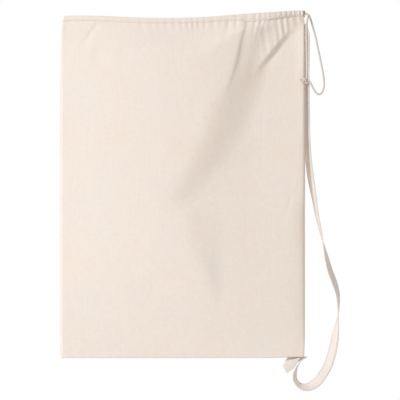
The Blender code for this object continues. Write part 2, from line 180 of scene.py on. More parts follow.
def set_lights():
    middle = (0.0, 0.0, -0.36)
    area_light("key", (-3.7, -3.2, 1.3), middle, 1.5, 160, (0.95, 1, 1.06))
    area_light("rear", (1.6, 2.4, 1.2), middle, 1.6, 40)
    world = bpy.data.worlds.new("studio")
    bpy.context.scene.world = world
    world.use_nodes = True
    nodes, links = world.node_tree.nodes, world.node_tree.links
    nodes.clear()
    out = nodes.new("ShaderNodeOutputWorld")
    mix = nodes.new("ShaderNodeMixShader")
    path = nodes.new("ShaderNodeLightPath")
    glow = nodes.new("ShaderNodeBackground")
    glow.inputs["Color"].default_value = (1, 0.955, 0.905, 1)
    glow.inputs["Strength"].default_value = 0.56
    sweep = nodes.new("ShaderNodeBackground")
    sweep.inputs["Color"].default_value = (1, 1, 1, 1)
    sweep.inputs["Strength"].default_value = 1.0
    links.new(path.outputs["Is Camera Ray"], mix.inputs["Fac"])
    links.new(glow.outputs["Background"], mix.inputs[1])
    links.new(sweep.outputs["Background"], mix.inputs[2])
    links.new(mix.outputs["Shader"], out.inputs["Surface"])
    bpy.context.scene.view_settings.view_transform = "Standard"


def set_floor():
    floor = mesh_object("floor", *grid_faces(plane_points(1.7, 1.7, -1.15)))
    floor.data.materials.append(simple_material("floor_paint", (0.93, 0.93, 0.92), 0.6))


def plane_points(width, depth, z):
    xs, ys = np.meshgrid(np.linspace(-width, width, 9), np.linspace(-depth, depth, 9))
    return np.stack([xs, ys, np.full_like(xs, z)], -1)


# ---------------------------------------------------------------- meshes


def mesh_object(name, points, faces, uvs=None, smooth=True):
    """A mesh object; uvs holds one pair for each point."""
    data = bpy.data.meshes.new(name)
    data.from_pydata([tuple(p) for p in points], [], [tuple(int(i) for i in f) for f in faces])
    if uvs is not None:
        layer = data.uv_layers.new(name="along")
        index = np.zeros(len(data.loops), np.int32)
        data.loops.foreach_get("vertex_index", index)
        layer.data.foreach_set("uv", np.asarray(uvs, np.float32)[index].ravel())
    data.update()
    if smooth:
        data.shade_smooth()
    made = bpy.data.objects.new(name, data)
    bpy.context.scene.collection.objects.link(made)
    return made


def grid_faces(points, closed=False):
    """(points, faces) of a grid of rows and columns; closed joins the last column to the first."""
    rows, columns = points.shape[:2]
    index = np.arange(rows * columns).reshape(rows, columns)
    after = np.roll(index, -1, axis=1)
    if not closed:
        index, after = index[:, :-1], after[:, :-1]
    quads = np.stack([index[:-1], after[:-1], after[1:], index[1:]], -1).reshape(-1, 4)
    return points.reshape(-1, 3), quads


def smooth_route(route, step):
    """Points about step apart on a Catmull-Rom curve through the route's rows of numbers."""
    rows = np.array(route, float)
    rows = np.vstack([rows[0] * 2 - rows[1], rows, rows[-1] * 2 - rows[-2]])
    fine = []
    for a, b, c, d in zip(rows, rows[1:], rows[2:], rows[3:]):
        for t in np.linspace(0, 1, 30, endpoint=False):
            fine.append(
                0.5 * (
                    2 * b + (c - a) * t
                    + (2 * a - 5 * b + 4 * c - d) * t**2
                    + (3 * b - a - 3 * c + d) * t**3
                )
            )
    fine.append(rows[-2])
    fine = np.array(fine)
    reached = np.concatenate([[0], np.cumsum(np.linalg.norm(np.diff(fine[:, :3], axis=0), axis=1))])
    count = max(int(round(reached[-1] / step)) + 1, 3)
    wanted = np.linspace(0, reached[-1], count)
    return np.stack([np.interp(wanted, reached, fine[:, i]) for i in range(fine.shape[1])], -1), wanted


def tube(name, line, radius, sides=14, braid=0.0, caps=True):
    """A round cord along a line of points, with the plaits of a braid raised on it, and UVs along it."""
    line = np.asarray(line, float)
    along = np.gradient(line, axis=0)
    along /= np.linalg.norm(along, axis=1)[:, None]
    reached = np.concatenate([[0], np.cumsum(np.linalg.norm(np.diff(line, axis=0), axis=1))])
    side = np.cross(along[0], (0.0, 1.0, 0.0))
    if np.linalg.norm(side) < 0.3:
        side = np.cross(along[0], (1.0, 0.0, 0.0))
    frames = []
    for direction in along:
        side = side - direction * side.dot(direction)
        side /= np.linalg.norm(side)
        frames.append((side.copy(), np.cross(direction, side)))
    turns = 2 * math.pi * np.arange(sides) / sides
    plait = 4
    pitch = 2 * math.pi / (radius * 5.0)
    rings = []
    for point, (a, b), reach in zip(line, frames, reached):
        crossing = np.sin(plait * turns + pitch * reach) * np.sin(plait * turns - pitch * reach)
        r = radius * (1 + braid * crossing)[:, None]
        rings.append(point + r * (np.cos(turns)[:, None] * a + np.sin(turns)[:, None] * b))
    points, faces = grid_faces(np.array(rings), closed=True)
    uvs = np.stack(
        np.broadcast_arrays(np.tile(turns / (2 * math.pi), len(line)), np.repeat(reached, sides)), -1
    )
    faces = [tuple(f) for f in faces]
    if caps:
        faces.append(tuple(range(sides))[::-1])
        faces.append(tuple(range(len(points) - sides, len(points))))
    return mesh_object(name, points, faces, uvs)


def ribbon_frames(route, step):
    """Centres, width directions, face directions and reach along a tape that lies as the route says."""
    rows, reached = smooth_route(route, step)
    centres = rows[:, :3]
    along = np.gradient(centres, axis=0)
    along /= np.linalg.norm(along, axis=1)[:, None]
    outer = np.stack([-along[:, 2], np.zeros(len(along)), along[:, 0]], -1)
    outer /= np.linalg.norm(outer, axis=1)[:, None]
    turn = np.radians(rows[:, 3])[:, None]
    across = outer * np.cos(turn) + np.array((0, -1, 0)) * np.sin(turn)
    across -= along * (across * along).sum(1)[:, None]
    across /= np.linalg.norm(across, axis=1)[:, None]
    return centres, across, np.cross(along, across), reached


def tape(name, frames, width, thickness, ripple=0.0):
    """A flat woven tape: a flattened loop of points swept along the frames, thicker at its folded edges."""
    centres, across, face, reached = frames
    lanes = np.linspace(-1, 1, 9)
    edge = np.abs(lanes) ** 4
    loop_a = np.concatenate([lanes, lanes[::-1]])
    loop_b = np.concatenate([0.78 + 0.3 * edge, -(0.78 + 0.3 * edge)])
    rings = []
    rng = np.random.default_rng(SEED)
    phase = rng.uniform(0, 6.28, 4)
    for i, reach in enumerate(reached):
        wave = ripple * (math.sin(reach / 0.021 + phase[0]) + 0.6 * math.sin(reach / 0.0093 + phase[1]))
        cup = 0.03 * width * math.sin(reach / 0.11 + phase[2])
        off = wave + cup * (loop_a**2 - 0.5)
        wide = width * (0.5 + 0.012 * math.sin(reach / 0.017 + phase[3]))
        rings.append(
            centres[i]
            + across[i] * (loop_a * wide)[:, None]
            + face[i] * (loop_b * thickness / 2 + off)[:, None]
        )
    points, faces = grid_faces(np.array(rings), closed=True)
    count = len(loop_a)
    uvs = np.stack(
        np.broadcast_arrays(np.tile(loop_a * width / 2, len(reached)), np.repeat(reached, count)), -1
    )
    faces = [tuple(f) for f in faces]
    faces.append(tuple(range(count))[::-1])
    faces.append(tuple(range(len(points) - count, len(points))))
    return mesh_object(name, points, faces, uvs)


# ---------------------------------------------------------------- materials


def simple_material(name, colour, roughness):
    made = bpy.data.materials.new(name)
    made.use_nodes = True
    shader = made.node_tree.nodes["Principled BSDF"]
    shader.inputs["Base Color"].default_value = (*colour, 1)
    shader.inputs["Roughness"].default_value = roughness
    return made


class Nodes:
    """Short ways to add and join shader nodes."""

    def __init__(self, name, roughness, sheen):
        self.material = bpy.data.materials.new(name)
        self.material.use_nodes = True
        self.tree = self.material.node_tree
        self.shader = self.tree.nodes["Principled BSDF"]
        self.shader.inputs["Roughness"].default_value = roughness
        self.shader.inputs["Sheen Weight"].default_value = sheen
        self.shader.inputs["Sheen Roughness"].default_value = 0.6
        self.shader.inputs["Specular IOR Level"].default_value = 0.12

    def add(self, kind, **sockets):
        node = self.tree.nodes.new(kind)
        for key, value in sockets.items():
            self.put(node, key.replace("_", " "), value)
        return node

    def put(self, node, key, value):
        if isinstance(value, bpy.types.NodeSocket):
            self.tree.links.new(value, node.inputs[key])
        else:
            node.inputs[key].default_value = value

    def math(self, operation, a, b=0.0, clamp=False):
        node = self.tree.nodes.new("ShaderNodeMath")
        node.operation = operation
        node.use_clamp = clamp
        self.put(node, 0, a)
        self.put(node, 1, b)
        return node.outputs[0]

    def coordinates(self, kind, scale):
        texture = self.tree.nodes.new("ShaderNodeTexCoord")
        mapping = self.add("ShaderNodeMapping")
        mapping.inputs["Scale"].default_value = scale
        self.tree.links.new(texture.outputs[kind], mapping.inputs["Vector"])
        return mapping.outputs["Vector"]

    def noise(self, vector, scale, detail=2.0, roughness=0.5):
        node = self.add("ShaderNodeTexNoise", Vector=vector, Scale=scale, Detail=detail, Roughness=roughness)
        return node.outputs["Fac"]

    def ramp(self, fac, stops):
        node = self.tree.nodes.new("ShaderNodeValToRGB")
        self.put(node, "Fac", fac)
        ramp = node.color_ramp
        while len(ramp.elements) < len(stops):
            ramp.elements.new(0.5)
        for element, (place, colour) in zip(ramp.elements, stops):
            element.position = place
            element.color = (*colour, 1)
        return node.outputs["Color"]

    def mix(self, kind, fac, a, b):
        node = self.tree.nodes.new("ShaderNodeMix")
        node.data_type = "RGBA"
        node.blend_type = kind
        self.put(node, 0, fac)
        self.put(node, 6, a)
        self.put(node, 7, b)
        return node.outputs[2]

    def bump(self, height, strength, distance, normal=None):
        node = self.add("ShaderNodeBump", Height=height, Strength=strength, Distance=distance)
        if normal is not None:
            self.put(node, "Normal", normal)
        return node.outputs["Normal"]

    def finish(self, colour, normal):
        self.put(self.shader, "Base Color", colour)
        self.put(self.shader, "Normal", normal)
        return self.material


def woven_material(name, light, dark, space, pitch, strength=0.35, sheen=0.12):
    """Unbleached plain weave: warp slubs down the cloth, weft across, seed flecks and a little yellowing."""
    n = Nodes(name, 0.92, sheen)
    flat = n.coordinates(space, (1, 1, 1))
    up = {"Object": 2, "UV": 1}[space]

    def stretched(across, along):
        scale = [across, across, across]
        scale[up] = along
        return n.coordinates(space, scale)

    warp = n.noise(stretched(1 / (2.6 * pitch), 1 / 0.055), 1.0, 3.0)
    weft = n.noise(stretched(1 / 0.045, 1 / (2.8 * pitch)), 1.0, 3.0)
    broad = n.noise(flat, 9.0, 3.0)
    mottle = n.noise(flat, 160.0, 2.0)
    colour = n.ramp(warp, ((0.32, dark), (0.5, [(a + b) / 2 for a, b in zip(light, dark)]), (0.66, light)))
    colour = n.mix("MIX", n.math("MULTIPLY", weft, 0.4), colour, (*light, 1))
    tint = n.ramp(broad, ((0.35, (1.0, 0.985, 0.955)), (0.65, (0.985, 1.0, 1.01))))
    colour = n.mix("MULTIPLY", 0.8, colour, tint)
    speck = n.ramp(mottle, ((0.3, (0.955, 0.95, 0.94)), (0.52, (1, 1, 1))))
    colour = n.mix("MULTIPLY", 0.6, colour, speck)
    cells = n.add("ShaderNodeTexVoronoi", Vector=flat, Scale=95.0)
    fleck = n.ramp(cells.outputs["Distance"], ((0.0, (0.55, 0.42, 0.28)), (0.055, (1, 1, 1))))
    rare = n.math("GREATER_THAN", n.noise(flat, 41.0, 0.0), 0.66)
    colour = n.mix("MULTIPLY", n.math("MULTIPLY", rare, 0.7), colour, fleck)
    threads = []
    for across in (True, False):
        wave = n.tree.nodes.new("ShaderNodeTexWave")
        wave.wave_type = "BANDS"
        wave.bands_direction = "X" if across else "XYZ"[up]
        wave.inputs["Scale"].default_value = 1 / (pitch * 20) * (1.0 if across else 1.08) * math.pi * 2
        wave.inputs["Distortion"].default_value = 1.2
        wave.inputs["Detail"].default_value = 1.0
        n.tree.links.new(flat, wave.inputs["Vector"])
        threads.append(wave.outputs["Fac"])
    weave = n.math("MAXIMUM", threads[0], threads[1])
    normal = n.bump(weave, strength, 0.00022)
    normal = n.bump(warp, strength * 0.55, 0.0005, normal)
    normal = n.bump(weft, strength * 0.5, 0.0004, normal)
    normal = n.bump(n.noise(flat, 55.0, 4.0, 0.6), 0.35, 0.0016, normal)
    return n.finish(colour, normal)


def braid_material(name, light, dark):
    """Braided cotton cord: fine strands along it and a soft fuzz."""
    n = Nodes(name, 0.9, 0.2)
    along = n.coordinates("UV", (8, 900, 1))
    strands = n.noise(along, 1.0, 2.0)
    fuzz = n.noise(n.coordinates("Object", (1, 1, 1)), 900.0, 3.0, 0.7)
    shade = n.math("ADD", n.math("MULTIPLY", strands, 0.6), n.math("MULTIPLY", fuzz, 0.4))
    colour = n.ramp(shade, ((0.35, dark), (0.62, light)))
    return n.finish(colour, n.bump(fuzz, 0.5, 0.0004))


def thread_material(name, light, dark):
    """Sewing thread, with a slight twist to it."""
    n = Nodes(name, 0.75, 0.1)
    twist = n.noise(n.coordinates("Object", (1400, 1400, 1400)), 1.0, 1.0)
    return n.finish(n.ramp(twist, ((0.35, dark), (0.6, light))), n.bump(twist, 0.3, 0.0001))


# ---------------------------------------------------------------- the cloth's shape


def top_edge(x):
    """Height of the mouth's top edge at x, smoothed between its points."""
    places, heights = np.array(TOP_EDGE, float).T * MM
    spread = np.array((-12, -6, 0, 6, 12)) * MM
    return np.mean([np.interp(x + s, places, heights) for s in spread], axis=0)


def hem_height(x):
    """Depth of the casing from its top edge to its stitches: more where the gathers puff it up."""
    return (12.4 + 4.6 * np.exp(-(((x - 0.15) / 0.045) ** 2)) - 0.8 * smooth(x, 0.18, 0.22)) * MM


def hem_y(x):
    """How far forward the front casing's middle hangs: it bows out, and turns back in at the drawn corner."""
    bow = np.sin(math.pi / 2 * np.clip((x - CASING_LEFT) / 0.21, 0, 1))
    return FRONT_CASING_Y - MOUTH_GAPE * bow * (1 - smooth(x, 0.17, 0.252)) + 1.5 * MM * smooth(x, 0.2, 0.25)


def stitch_z(x):
    return top_edge(x) - hem_height(x)


def smooth(x, low, high):
    """0 below low and 1 above high, easing in and out between them."""
    t = np.clip((x - low) / (high - low), 0, 1)
    return t * t * (3 - 2 * t)


def gather_phase(x):
    """The gathers' phase: they come every 15 mm or so, a little closer towards the drawn corner."""
    steps = np.linspace(-HALF, HALF, 2001)
    spacing = (15.5 - 3.5 * smooth(steps, 0.05, 0.2)) * MM
    wander = 1 + 0.24 * np.sin(steps / 0.031 + 1.0) + 0.2 * np.sin(steps / 0.0117)
    phase = np.concatenate([[0], np.cumsum(2 * math.pi * wander[1:] * np.diff(steps) / spacing[1:])])
    return np.interp(x, steps, phase)


def gather(x):
    """Rounded ridges with narrow valleys between them, from -1 to 1, no two alike."""
    uneven = 1 + 0.35 * np.sin(x / 0.019 + 0.7) + 0.25 * np.sin(x / 0.0078)
    return (2 * np.abs(np.sin(gather_phase(x) / 2)) ** 0.7 - 1) * uneven


def gather_depth(x):
    """How deep the gathers are at x: they deepen in steps towards the drawn corner."""
    return (
        0.14 + 0.4 * smooth(x, -0.14, -0.03) + 0.4 * smooth(x, 0.07, 0.14) + 1.0 * smooth(x, 0.15, 0.225)
    ) * MM


def ruffle(x):
    """Fine pleats that the drawcord crowds into the last few centimetres of the casing."""
    pleat = 2 * np.abs(np.sin(math.pi * (x + 0.6 * MM * np.sin(x / 0.004)) / (5.4 * MM))) ** 0.8 - 1
    return pleat * smooth(x, 0.218, 0.236) * MM


# The cloth's main folds, as rows of mm: a height, where the cloth starts to fall away there, where it has
# fallen, and how far. The first runs down from the drawn corner, the second is a shallow one on its left,
# and the third turns back under them.
FALLS = (
    (
        (0, 176, 262, 6), (-19, 158, 256, 14), (-31, 140, 236, 18), (-45, 126, 215, 18.5),
        (-58, 116, 204, 18.5), (-81, 106, 193, 18.5), (-122, 92, 180, 18.5), (-174, 60, 163, 18.5),
        (-237, 36, 138, 17.5), (-299, 6, 99, 15), (-340, -20, 64, 12), (-376, -44, 36, 7),
        (-402, -48, 10, 0),
    ),
    (
        (-6, 138, 150, 1.5), (-54, 121, 132, 2.5), (-102, 110, 122, 2.5), (-151, 98, 112, 1.5),
        (-200, 90, 108, 0),
    ),
    (
        (-270, 80, 130, 0), (-340, 10, 100, 4), (-380, -32, 87, 8), (-423, -14, 87, 9.5), (-465, 4, 87, 9),
        (-527, 36, 85, 6.5), (-579, 60, 80, 2), (-605, 66, 84, 0),
    ),
)

# Creases in the front cloth: points (x, z) in mm down the crease, how deep it is along them, and how wide
# it is on its left and right.
CREASES = (
    (((138, -12), (124, -50), (116, -91), (104, -132), (88, -176)), (1.8, 2.8, 2.4, 1.2, 0), 4, 13),
    (((162, -12), (172, -44), (170, -86), (158, -140)), (0.8, 1.2, 0.8, 0), 7, 9),
    (((206, -22), (203, -38), (194, -62), (180, -95), (166, -130)), (1.2, 2.4, 2.2, 1.0, 0), 8, 9),
    (((-178, -20), (-196, -44), (-214, -66)), (0.9, 1.2, 0), 4, 6),
    (((96, -10), (90, -40), (80, -66)), (1.4, 1.0, 0), 6, 8),
    (((-104, -440), (-132, -458), (-158, -476)), (0, 0.5, 0), 4, 5),
    (((-104, -670), (-132, -684), (-160, -694)), (0, 0.6, 0), 4, 5),
    (((227, -366), (220, -392), (211, -416)), (0, 0.9, 0), 5, 5),
    (((-4, -384), (10, -376), (24, -374)), (0, 0.6, 0), 3, 3),
    (((18, -390), (34, -378), (50, -376)), (0, 0.7, 0), 3, 3),
    (((40, -386), (54, -372), (66, -370)), (0, 0.6, 0), 3, 3),
    (((20, -480), (34, -470), (48, -468)), (0, 0.5, 0), 3, 3),
)

# Shallow dents: middle (x, z), half-widths and depth, in mm.
DENTS = (
    (-172, -86, 20, 16, 0.9), (-118, -88, 17, 15, 0.9), (-60, -560, 70, 40, 1.2), (150, -300, 60, 50, 1.0),
)


def fall_depth(x, z, rows):
    """How far a main fold has let the cloth fall at x, z."""
    heights, starts, ends, drops = np.array(rows[::-1], float).T * MM
    start = np.interp(z, heights, starts)
    end = np.interp(z, heights, ends)
    drop = np.interp(z, heights, drops)
    t = np.clip((x - start) / (end - start), 0, 1)
    return drop * t * t * (3 - 2 * t)


def soften(grid, spread):
    """A grid of numbers blurred over spread cells either way, its borders kept."""
    reach = int(3 * spread)
    kernel = np.exp(-0.5 * (np.arange(-reach, reach + 1) / spread) ** 2)
    kernel /= kernel.sum()
    for axis in (0, 1):
        pad = [(reach, reach) if i == axis else (0, 0) for i in (0, 1)]
        padded = np.pad(grid, pad, "edge")
        grid = np.apply_along_axis(lambda line: np.convolve(line, kernel, "valid"), axis, padded)
    return grid


def crease_depth(x, z, points, depths, left, right):
    """How deep one crease makes the cloth at x, z: a valley that fades out at its ends and to its sides."""
    line, reached = smooth_route([(px * MM, 0.0, pz * MM) for px, pz in points], 2 * MM)
    depth = np.interp(reached / reached[-1], np.linspace(0, 1, len(depths)), depths) * MM
    track = line[:, [0, 2]]
    down = np.gradient(track, axis=0)
    down /= np.linalg.norm(down, axis=1)[:, None]
    reach = 3.5 * max(left, right) * MM
    near = (
        (x > track[:, 0].min() - reach) & (x < track[:, 0].max() + reach)
        & (z > track[:, 1].min() - reach) & (z < track[:, 1].max() + reach)
    )
    found = np.zeros(x.shape)
    flat_x, flat_z = x[near], z[near]
    best = np.full(flat_x.shape, 1e9)
    deepest = np.zeros(flat_x.shape)
    for (px, pz), (dx, dz), deep in zip(track, down, depth):
        off_x, off_z = flat_x - px, flat_z - pz
        # A line that heads down has what is on its left, seen from the front, where this is positive.
        sideways = off_x * dz - off_z * dx
        width = np.where(sideways > 0, left, right) * MM
        distance = np.hypot(off_x, off_z) / width
        closer = distance < best
        best = np.where(closer, distance, best)
        deepest = np.where(closer, deep, deepest)
    found[near] = deepest * np.exp(-(best**2))
    return found


def belly(x, z):
    """How far forward of the seams the front cloth hangs, before its folds."""
    across = np.clip((x + HALF) / (2 * HALF), 0, 1)
    plan = np.sin(math.pi / 2 * np.clip(across / 0.62, 0, 1)) * (1 - 0.3 * smooth(across, 0.6, 0.97))
    plan = plan * np.sqrt(np.clip(1 - across**34, 0, 1))
    up = np.clip((z - BOTTOM) / (stitch_z(x) - BOTTOM), 0, 1)
    rise = np.sin(math.pi / 2 * np.clip(up / 0.42, 0, 1)) ** 1.2
    return 27 * MM * plan * rise


def saw_pleats(x, z):
    """Uneven pleats 15 mm apart, from -0.5 to 0.5, whose long sides face right."""
    places = x - 0.209 + 1.5 * MM * np.sin(x / 0.011) + 0.16 * (z + 0.012)
    found = np.zeros(np.shape(x))
    for offset in (-1.8, -0.6, 0.6, 1.8):
        share = ((places + offset * MM) / 0.0148) % 1.0
        found = found + np.where(share < 0.3, share / 0.3, 1 - (share - 0.3) / 0.7) - 0.5
    return found / 4 * (1 + 0.4 * np.sin(x / 0.0067 + 2.0))


def corner_pleats(x, z, deep):
    """Depth under the drawn corner, where the crowded cloth falls back towards the seam in pleats."""
    border = -0.034 + np.where(x > 0.222, 0.46, 1.15) * (x - 0.222)
    inside = smooth(z, border - 11 * MM, border + 9 * MM) * smooth(x, 0.14, 0.195)
    height = (1.3 + 1.3 * smooth(x, 0.18, 0.205)) * MM * smooth(z, border - 2 * MM, border + 20 * MM)
    pleated = 18.5 * MM - 0.168 * (x - 0.15) + saw_pleats(x, z) * height
    return deep * (1 - inside) + pleated * inside


def front_depth(x, z):
    """Distance of the front cloth ahead of the bag's middle plane."""
    deep = 2.6 * MM + belly(x, z)
    below = np.clip(stitch_z(x) - z, 0, None)
    top = -hem_y(x) + 1.2 * MM
    near_hem = 1 - smooth(below, 0.0, 0.075 - 0.057 * smooth(x, 0.02, 0.14))
    deep = deep * (1 - near_hem) + top * near_hem
    falls = sum(fall_depth(x, z, rows) for rows in FALLS)
    if x.ndim == 2:
        falls = soften(falls, 3.0)
    creases = sum(crease_depth(x, z, *crease) for crease in CREASES)
    dents = sum(
        d * MM * np.exp(-(((x / MM - cx) / rx) ** 2) - ((z / MM - cz) / rz) ** 2)
        for cx, cz, rx, rz, d in DENTS
    )
    edge = 1 - np.clip(np.abs(x) / HALF, 0, 1) ** 18
    right_rise = 4 * MM * smooth(x, 0.13, 0.235) * smooth(z, -0.62, -0.40) * (1 - smooth(z, -0.12, -0.02))
    deep = deep + (right_rise - falls - creases - dents) * edge
    reach = (12 + 8 * smooth(x, 0.05, 0.15) - 5 * smooth(x, 0.19, 0.23)) * MM
    fade = np.exp(-((below / reach) ** 1.6))
    fan = x + 0.1 * (x - 0.05) * np.clip(below, 0, 0.04) / 0.04
    calm = 1.25 - 0.75 * smooth(x, 0.175, 0.215)
    deep = deep + gather(fan) * gather_depth(x) * calm * fade * edge
    deep = corner_pleats(x, z, deep)
    floor = 1.2 * MM
    soft = 1.2 * MM
    deep = floor + soft * np.log1p(np.exp((deep - floor) / soft))
    lip = np.exp(-(((z - bottom_edge(x) - 3.2 * MM) / (2.4 * MM)) ** 2))
    return deep + lip * (0.5 + 1.9 * smooth(x, 0.15, 0.22)) * MM * edge


def side_x(across, z):
    """x of a column at height z. The left side leans in at the top, and the right side at both corners."""
    bulge = 1.2 * np.sin(math.pi * np.clip(-z / HEIGHT, 0, 1))
    lean = (np.exp(z / 0.018) * 6 + np.exp(z / 0.15) * 2 - bulge) * MM
    tuck = (0.8 + 2.6 * np.exp(z / 0.02) + 2.6 * np.exp((BOTTOM - z) / 0.035)) * MM
    x = -HALF + 2 * HALF * across
    return x + lean * np.clip(1 - across / 0.08, 0, 1) - tuck * np.clip((across - 0.92) / 0.08, 0, 1)


def bottom_edge(x):
    """Height of the bottom edge at x: the sewn corner under the strap curls up a little."""
    return BOTTOM + (1.6 + 2.2 * smooth(x, 0.17, 0.235)) * MM


def cloth_grid(columns, rows, depth_of):
    """A sheet's points, from its bottom row up to a row that tucks into the casing."""
    across, up = np.meshgrid(np.linspace(0, 1, columns), np.linspace(0, 1, rows))
    x = -HALF + 2 * HALF * across
    bottom = bottom_edge(x)
    z = bottom + (stitch_z(x) + 2.5 * MM - bottom) * up
    y = depth_of(x, z)
    return np.stack([side_x(across, z), y, z], -1)


def rolled_edges(points, turn_y):
    """The outermost columns turned back towards the other cloth, as a sewn and turned edge lies."""
    columns = points.shape[1]
    x = points[..., 0]
    inward = HALF - np.abs(x)
    radius = 5 * MM
    share = np.clip(1 - inward / radius, 0, 1)
    points[..., 1] = points[..., 1] * (1 - share**3) + turn_y * share**3
    return points


def held_share(rows, columns):
    """How firmly each point of a sheet is held: fully at its hem and sewn edges, and a little in between."""
    row, column = np.meshgrid(np.arange(rows), np.arange(columns), indexing="ij")
    from_edge = np.minimum.reduce([column, columns - 1 - column, row, rows - 1 - row])
    return np.clip(1 - from_edge / 6, 0.04, 1)


def hang_cloth(points, stride=2, frames=16):
    """Lets a grid of cloth settle under its own weight, and returns the grid with that settling added.

    The folds are shaped already and the cloth is stiff, so it moves by a quarter of a millimetre at most.
    """
    coarse = points[::stride, ::stride]
    rows, columns = coarse.shape[:2]
    piece = mesh_object("settling", *grid_faces(coarse))
    group = piece.vertex_groups.new(name="held")
    for index, weight in enumerate(held_share(rows, columns).ravel()):
        group.add([index], float(weight), "REPLACE")
    cloth = piece.modifiers.new("Hang", "CLOTH")
    settings = cloth.settings
    settings.quality = 6
    settings.mass = 0.0003
    settings.air_damping = 4
    settings.tension_stiffness = 30
    settings.compression_stiffness = 30
    settings.shear_stiffness = 15
    settings.bending_stiffness = 12
    settings.vertex_group_mass = group.name
    settings.pin_stiffness = 1
    cloth.point_cache.frame_start = 1
    cloth.point_cache.frame_end = frames
    scene = bpy.context.scene
    for step in range(1, frames + 1):
        scene.frame_set(step)
    settled = piece.evaluated_get(bpy.context.evaluated_depsgraph_get()).to_mesh()
    places = np.zeros(len(settled.vertices) * 3, np.float32)
    settled.vertices.foreach_get("co", places)
    moved = places.reshape(rows, columns, 3) - coarse
    scene.frame_set(1)
    bpy.data.objects.remove(piece, do_unlink=True)
    smooth_moves = np.stack([soften(moved[..., i], 2.5) for i in range(3)], -1)
    return points + stretched_to(smooth_moves, points.shape[:2])


def stretched_to(grid, shape):
    """A coarse grid of vectors drawn out to a finer grid of that shape."""
    rows = np.linspace(0, grid.shape[0] - 1, shape[0])
    columns = np.linspace(0, grid.shape[1] - 1, shape[1])
    low_row = np.minimum(rows.astype(int), grid.shape[0] - 2)
    low_column = np.minimum(columns.astype(int), grid.shape[1] - 2)
    down = (rows - low_row)[:, None, None]
    along = (columns - low_column)[None, :, None]
    first, after = grid[low_row], grid[low_row + 1]
    upper = first[:, low_column] * (1 - along) + first[:, low_column + 1] * along
    lower = after[:, low_column] * (1 - along) + after[:, low_column + 1] * along
    return upper * (1 - down) + lower * down


def thicken(piece, thickness):
    """Gives a sheet of cloth its thickness, half on each side."""
    skin = piece.modifiers.new("Cloth thickness", "SOLIDIFY")
    skin.thickness = thickness
    skin.offset = 0


def make_front(cloth):
    points = cloth_grid(FRONT_COLUMNS, FRONT_ROWS, lambda x, z: -front_depth(x, z))
    points = rolled_edges(points, 0.6 * MM)
    points = hang_cloth(points)
    piece = mesh_object("bag_front", *grid_faces(points))
    thicken(piece, CLOTH)
    piece.data.materials.append(cloth)
    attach(piece, "bag")
    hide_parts("front_panel", "left_side_seam", "right_side_seam", "bottom_seam")
    return piece


def back_depth(x, z):
    """y of the back cloth: almost flat, with a slow wave and the gathers under its hem."""
    below = np.clip(stitch_z(x) - z, 0, None)
    fade = np.exp(-below / 0.03)
    wave = 1.4 * MM * np.sin(x / 0.061 + z / 0.17) * np.sin(z / 0.093 + 1.0)
    sag = 1.2 * MM * np.sin(math.pi * np.clip((z - BOTTOM) / HEIGHT, 0, 1)) * np.cos(x / HALF * 1.4)
    edge = 1 - np.clip(np.abs(x) / HALF, 0, 1) ** 10
    return BACK_Y + (wave * 0.6 + sag + gather(x + 0.003) * gather_depth(x) * fade) * edge


def make_back(cloth):
    points = cloth_grid(BACK_COLUMNS, BACK_ROWS, back_depth)
    points = rolled_edges(points, 1.2 * MM)
    piece = mesh_object("bag_back", *grid_faces(points[:, ::-1]))
    thicken(piece, CLOTH)
    piece.data.materials.append(cloth)
    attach(piece, "bag")
    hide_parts("back_panel")
    return piece


def make_hem(name, cloth, y_of, facing, nodes):
    """One casing: the cloth folded over the cord, puffed and gathered, with its right end open."""
    sides = 26
    turns = 2 * math.pi * np.arange(sides) / sides
    xs = np.linspace(-HALF + 0.5 * MM, HALF - (5.0 if facing < 0 else 1.0) * MM, 560)
    lean = np.exp(-(xs + HALF) / (4 * MM)) * 4 * MM
    xs = xs + np.exp(-(xs + HALF) / (20 * MM)) * 6.5 * MM
    phase_shift = 0.0 if facing < 0 else 0.0035
    rings = []
    for x, inward in zip(xs, lean):
        height = float(hem_height(x))
        top = float(top_edge(x)) - (0.0 if facing < 0 else 0.5 * MM)
        ridge = float(gather(x + phase_shift) * gather_depth(x))
        closing = math.sqrt(max(1 - ((x + HALF) / (6 * MM) - 1) ** 2, 0.02)) if x < -HALF + 6 * MM else 1.0
        pleat = float(ruffle(x + phase_shift))
        bunched = 1 + (0.45 if facing < 0 else 0.1) * float(smooth(x, 0.15, 0.21))
        thick = (CASING_THICKNESS * 0.9 * bunched + ridge + 1.3 * pleat) * (0.35 + 0.65 * closing)
        up = np.sign(np.sin(turns)) * np.abs(np.sin(turns)) ** 0.8
        out = np.sign(np.cos(turns)) * np.abs(np.cos(turns)) ** 0.85
        pinch = 1 - 0.55 * smooth(-up, 0.15, 1.0)
        y = float(y_of(x)) + out * thick / 2 * pinch
        z = top - height / 2 + up * (height / 2) + np.maximum(up, 0) * (ridge * 0.35 + pleat * 0.9)
        rings.append(np.stack([np.full(sides, x) + up * inward * 0.4, y, z], -1))
    last = rings[-1]
    middle = last.mean(0)
    for back, share in ((0.6, 0.9), (0.2, 0.78), (-2.0, 0.74), (-9.0, 0.70)):
        ring = middle + (last - middle) * share
        ring[:, 0] = xs[-1] + (back - 0.4) * MM if back > 0 else xs[-1] + back * MM
        rings.append(ring)
    points, faces = grid_faces(np.array(rings), closed=True)
    faces = [tuple(f) for f in faces]
    faces.append(tuple(range(sides))[::-1])
    faces.append(tuple(range(len(points) - sides, len(points))))
    piece = mesh_object(name, points, faces)
    piece.data.materials.append(cloth)
    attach(piece, "bag")
    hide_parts(*nodes)
    return piece


